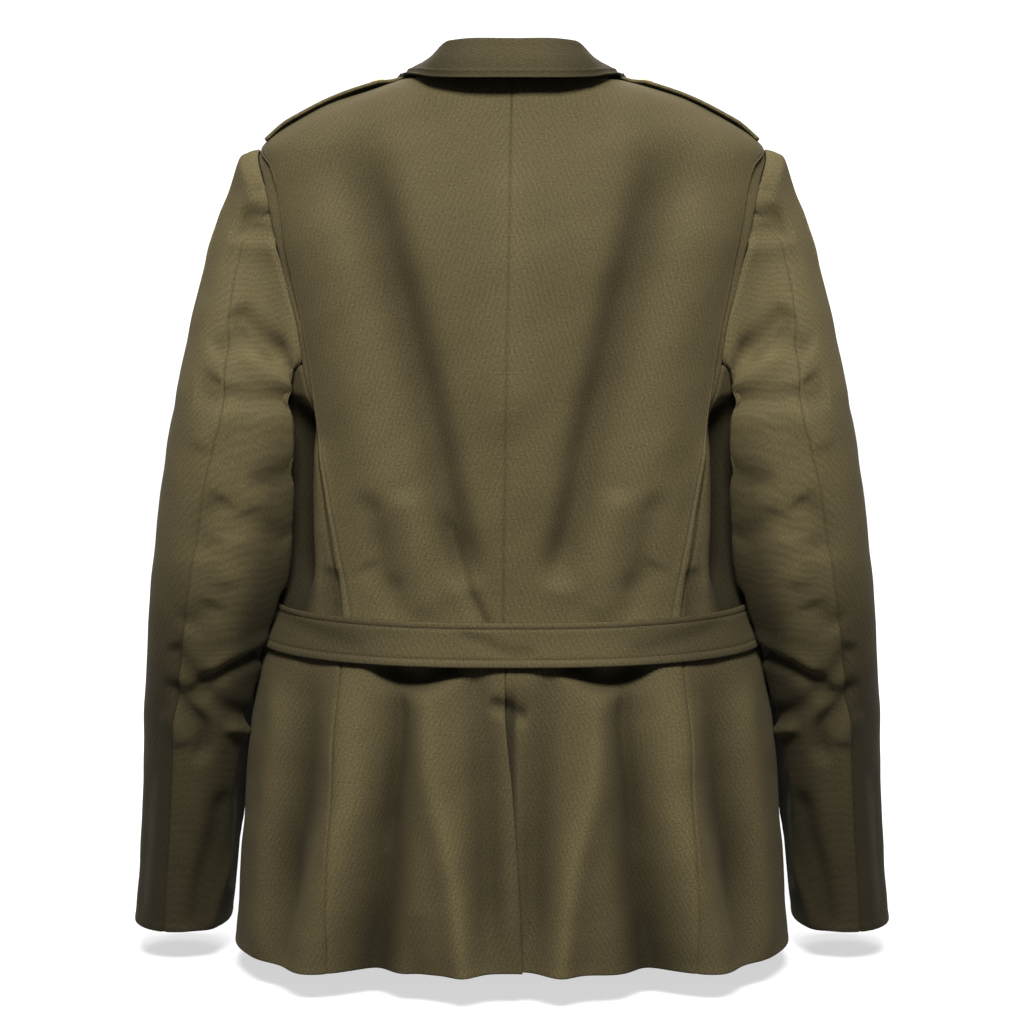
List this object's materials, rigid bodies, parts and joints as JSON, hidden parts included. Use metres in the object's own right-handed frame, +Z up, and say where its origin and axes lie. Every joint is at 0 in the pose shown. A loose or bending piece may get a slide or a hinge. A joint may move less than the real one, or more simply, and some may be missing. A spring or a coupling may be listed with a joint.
{
  "type": "military dress tunic worn by a person, shown without the wearer",
  "caption": "Belted service tunic in worn, hollow form: fall collar, shoulder straps, pleated back, half belt, vented skirt, two-piece sleeves.",
  "frame": {"origin": "the middle of the neck base, level with the inner ends of the shoulder seams, where the wearer's shoulders and neck hold the tunic up", "axes": "+Z is up, the back of the tunic faces -Y and its buttoned front +Y, +X is the wearer's right"},
  "size_m": [0.6652, 0.282, 0.769],
  "materials": {
    "gabardine": "olive drab cotton gabardine, matt with a faint diagonal rib",
    "button_metal": "plain domed brass, lightly aged"
  },
  "bodies": {
    "root": {"back_left": "gabardine", "back_right": "gabardine", "pleat_left": "gabardine", "pleat_right": "gabardine", "side_left": "gabardine", "side_right": "gabardine", "skirt_left": "gabardine", "skirt_right": "gabardine", "front_left": "gabardine", "front_right": "gabardine", "lapel_left": "gabardine", "lapel_right": "gabardine", "collar": "gabardine", "strap_left": "gabardine", "strap_right": "gabardine", "belt": "gabardine", "top_sleeve_left": "gabardine", "top_sleeve_right": "gabardine", "under_sleeve_left": "gabardine", "under_sleeve_right": "gabardine", "pocket_left": "gabardine", "pocket_right": "gabardine", "pocket_flap_left": "gabardine", "pocket_flap_right": "gabardine", "strap_button_left": "button_metal", "strap_button_right": "button_metal", "front_button_1": "button_metal", "front_button_2": "button_metal", "front_button_3": "button_metal", "front_button_4": "button_metal"}
  },
  "joints": []
}
